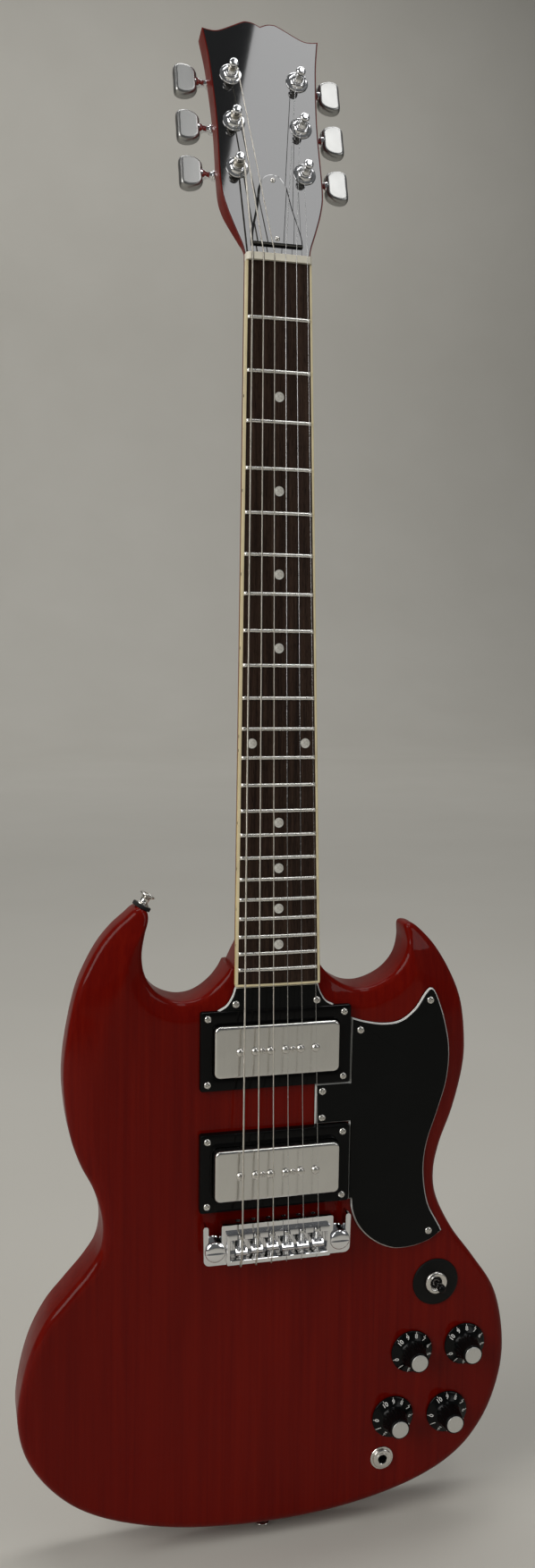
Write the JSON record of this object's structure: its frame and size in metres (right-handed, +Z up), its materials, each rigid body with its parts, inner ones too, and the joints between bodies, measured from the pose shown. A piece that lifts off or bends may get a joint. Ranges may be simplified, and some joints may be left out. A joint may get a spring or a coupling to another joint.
{
  "type": "electric guitar",
  "caption": "Solid-body double-cutaway electric guitar with set neck, covered pickups, wraparound bridge, turning tuners, knobs and a toggle switch.",
  "frame": {"origin": "on the back plane of the body, on the neck's centre line, level with the end of the 628.65 mm scale, about 8 mm above the line where the strings cross the saddles", "axes": "+Z up the neck towards the headstock, +X towards the treble side, -Y out of the face, so +Y out of the flat back"},
  "size_m": [0.3422, 0.1152, 1.0261],
  "materials": {
    "black_plastic": "gloss black",
    "bone": "polished",
    "cherry_wood": "gloss clear red lacquer",
    "chrome": "polished",
    "cream_plastic": "aged cream",
    "nickel": "satin nickel",
    "rosewood": "satin oiled",
    "steel": "plain"
  },
  "bodies": {
    "guitar": {"body": "cherry_wood", "neck": "cherry_wood", "headstock_veneer": "black_plastic", "fretboard": "rosewood", "fretboard_binding": "cream_plastic", "nut": "bone", "truss_rod": "steel", "truss_rod_cover": "black_plastic", "pickguard": "black_plastic", "neck_guard": "black_plastic", "neck_pickup_ring": "black_plastic", "bridge_pickup_ring": "black_plastic", "control_cover": "black_plastic", "control_pots": "steel", "switch_body": "nickel", "output_jack": "nickel", "upper_strap_button": "chrome", "lower_strap_button": "chrome", "tuner_housing_1": "chrome", "tuner_housing_2": "chrome", "tuner_housing_3": "chrome", "tuner_housing_4": "chrome", "tuner_housing_5": "chrome", "tuner_housing_6": "chrome", "string_1": "nickel", "string_2": "nickel", "string_3": "nickel", "string_4": "steel", "string_5": "steel", "string_6": "steel"},
    "post_1": {"tuner_post_1": "chrome"},
    "button_1": {"tuner_button_1": "chrome"},
    "post_2": {"tuner_post_2": "chrome"},
    "button_2": {"tuner_button_2": "chrome"},
    "post_3": {"tuner_post_3": "chrome"},
    "button_3": {"tuner_button_3": "chrome"},
    "post_4": {"tuner_post_4": "chrome"},
    "button_4": {"tuner_button_4": "chrome"},
    "post_5": {"tuner_post_5": "chrome"},
    "button_5": {"tuner_button_5": "chrome"},
    "post_6": {"tuner_post_6": "chrome"},
    "button_6": {"tuner_button_6": "chrome"},
    "control_knob_1": {"knob_1": "black_plastic"},
    "control_knob_2": {"knob_2": "black_plastic"},
    "control_knob_3": {"knob_3": "black_plastic"},
    "control_knob_4": {"knob_4": "black_plastic"},
    "switch_lever_arm": {"switch_lever": "black_plastic"},
    "bridge_plate": {"bridge": "chrome"},
    "bass_stud": {"bass_bridge_stud": "chrome"},
    "treble_stud": {"treble_bridge_stud": "chrome"},
    "saddle_block_1": {"saddle_1": "nickel"},
    "saddle_block_2": {"saddle_2": "nickel"},
    "saddle_block_3": {"saddle_3": "nickel"},
    "saddle_block_4": {"saddle_4": "nickel"},
    "saddle_block_5": {"saddle_5": "nickel"},
    "saddle_block_6": {"saddle_6": "nickel"},
    "neck_pickup": {"neck_pickup_cover": "chrome", "neck_pickup_coil": "black_plastic"},
    "bridge_pickup": {"bridge_pickup_cover": "chrome", "bridge_pickup_coil": "black_plastic"}
  },
  "joints": [
    {"name": "tuner_1_button_turn", "type": "hinge", "parent": "guitar", "child": "button_1", "pos_m": [-0.0225, 0.02659, 0.69123], "axis": [-1, 0, 0], "continuous": true},
    {"name": "tuner_1_post_turn", "type": "hinge", "parent": "guitar", "child": "post_1", "pos_m": [-0.0225, 0.00809, 0.69126], "axis": [0, -0.9455, 0.3256], "continuous": true},
    {"name": "tuner_2_button_turn", "type": "hinge", "parent": "guitar", "child": "button_2", "pos_m": [-0.0225, 0.03789, 0.72404], "axis": [-1, 0, 0], "continuous": true},
    {"name": "tuner_2_post_turn", "type": "hinge", "parent": "guitar", "child": "post_2", "pos_m": [-0.0225, 0.01939, 0.72407], "axis": [0, -0.9455, 0.3256], "continuous": true},
    {"name": "tuner_3_button_turn", "type": "hinge", "parent": "guitar", "child": "button_3", "pos_m": [-0.0225, 0.04932, 0.75723], "axis": [-1, 0, 0], "continuous": true},
    {"name": "tuner_3_post_turn", "type": "hinge", "parent": "guitar", "child": "post_3", "pos_m": [-0.0225, 0.03082, 0.75726], "axis": [0, -0.9455, 0.3256], "continuous": true},
    {"name": "tuner_4_button_turn", "type": "hinge", "parent": "guitar", "child": "button_4", "pos_m": [0.0225, 0.04932, 0.75723], "axis": [1, 0, 0], "continuous": true},
    {"name": "tuner_4_post_turn", "type": "hinge", "parent": "guitar", "child": "post_4", "pos_m": [0.0225, 0.03082, 0.75726], "axis": [0, -0.9455, 0.3256], "continuous": true},
    {"name": "tuner_5_button_turn", "type": "hinge", "parent": "guitar", "child": "button_5", "pos_m": [0.0225, 0.03789, 0.72404], "axis": [1, 0, 0], "continuous": true},
    {"name": "tuner_5_post_turn", "type": "hinge", "parent": "guitar", "child": "post_5", "pos_m": [0.0225, 0.01939, 0.72407], "axis": [0, -0.9455, 0.3256], "continuous": true},
    {"name": "tuner_6_button_turn", "type": "hinge", "parent": "guitar", "child": "button_6", "pos_m": [0.0225, 0.02659, 0.69123], "axis": [1, 0, 0], "continuous": true},
    {"name": "tuner_6_post_turn", "type": "hinge", "parent": "guitar", "child": "post_6", "pos_m": [0.0225, 0.00809, 0.69126], "axis": [0, -0.9455, 0.3256], "continuous": true},
    {"name": "knob_1_turn", "type": "hinge", "parent": "guitar", "child": "control_knob_1", "pos_m": [0.1015, 0, -0.1035], "axis": [0, -1, 0], "range_deg": [0, 290]},
    {"name": "knob_2_turn", "type": "hinge", "parent": "guitar", "child": "control_knob_2", "pos_m": [0.141, 0, -0.1026], "axis": [0, -1, 0], "range_deg": [0, 290]},
    {"name": "knob_3_turn", "type": "hinge", "parent": "guitar", "child": "control_knob_3", "pos_m": [0.0885, 0, -0.1502], "axis": [0, -1, 0], "range_deg": [0, 290]},
    {"name": "knob_4_turn", "type": "hinge", "parent": "guitar", "child": "control_knob_4", "pos_m": [0.129, 0, -0.152], "axis": [0, -1, 0], "range_deg": [0, 290]},
    {"name": "switch_throw", "type": "hinge", "parent": "guitar", "child": "switch_lever_arm", "pos_m": [0.118, -0.036, -0.0544], "axis": [0.866, 0, 0.5], "range_deg": [0, 24]},
    {"name": "bridge_height", "type": "slide", "parent": "guitar", "child": "bridge_plate", "axis": [0, -1, 0], "range_m": [-0.0004, 0.0012], "deforming": ["string_1", "string_2", "string_3", "string_4", "string_5", "string_6"]},
    {"name": "bass_stud_turn", "type": "hinge", "parent": "bridge_plate", "child": "bass_stud", "pos_m": [-0.0425, 0, -0.0088], "axis": [0, -1, 0], "range_deg": [-360, 540]},
    {"name": "treble_stud_turn", "type": "hinge", "parent": "bridge_plate", "child": "treble_stud", "pos_m": [0.0425, 0, -0.0088], "axis": [0, -1, 0], "range_deg": [-360, 540]},
    {"name": "saddle_1_intonation", "type": "slide", "parent": "bridge_plate", "child": "saddle_block_1", "axis": [0, 0, 1], "range_m": [-0.0025, 0.0025], "deforming": ["string_1"]},
    {"name": "saddle_2_intonation", "type": "slide", "parent": "bridge_plate", "child": "saddle_block_2", "axis": [0, 0, 1], "range_m": [-0.0025, 0.0025], "deforming": ["string_2"]},
    {"name": "saddle_3_intonation", "type": "slide", "parent": "bridge_plate", "child": "saddle_block_3", "axis": [0, 0, 1], "range_m": [-0.0025, 0.0025], "deforming": ["string_3"]},
    {"name": "saddle_4_intonation", "type": "slide", "parent": "bridge_plate", "child": "saddle_block_4", "axis": [0, 0, 1], "range_m": [-0.0025, 0.0025], "deforming": ["string_4"]},
    {"name": "saddle_5_intonation", "type": "slide", "parent": "bridge_plate", "child": "saddle_block_5", "axis": [0, 0, 1], "range_m": [-0.0025, 0.0025], "deforming": ["string_5"]},
    {"name": "saddle_6_intonation", "type": "slide", "parent": "bridge_plate", "child": "saddle_block_6", "axis": [0, 0, 1], "range_m": [-0.0025, 0.0025], "deforming": ["string_6"]},
    {"name": "neck_pickup_height", "type": "slide", "parent": "guitar", "child": "neck_pickup", "axis": [0, -1, 0], "range_m": [-0.002, 0.001]},
    {"name": "bridge_pickup_height", "type": "slide", "parent": "guitar", "child": "bridge_pickup", "axis": [0, -1, 0], "range_m": [-0.002, 0.0005]}
  ],
  "couplings": [
    {"joint": "tuner_1_post_turn", "follows": "tuner_1_button_turn", "ratio": 0.071429},
    {"joint": "tuner_2_post_turn", "follows": "tuner_2_button_turn", "ratio": 0.071429},
    {"joint": "tuner_3_post_turn", "follows": "tuner_3_button_turn", "ratio": 0.071429},
    {"joint": "tuner_4_post_turn", "follows": "tuner_4_button_turn", "ratio": 0.071429},
    {"joint": "tuner_5_post_turn", "follows": "tuner_5_button_turn", "ratio": 0.071429},
    {"joint": "tuner_6_post_turn", "follows": "tuner_6_button_turn", "ratio": 0.071429},
    {"joint": "bass_stud_turn", "follows": "bridge_height", "rad_per_m": -5026.5},
    {"joint": "treble_stud_turn", "follows": "bridge_height", "rad_per_m": -5026.5}
  ]
}
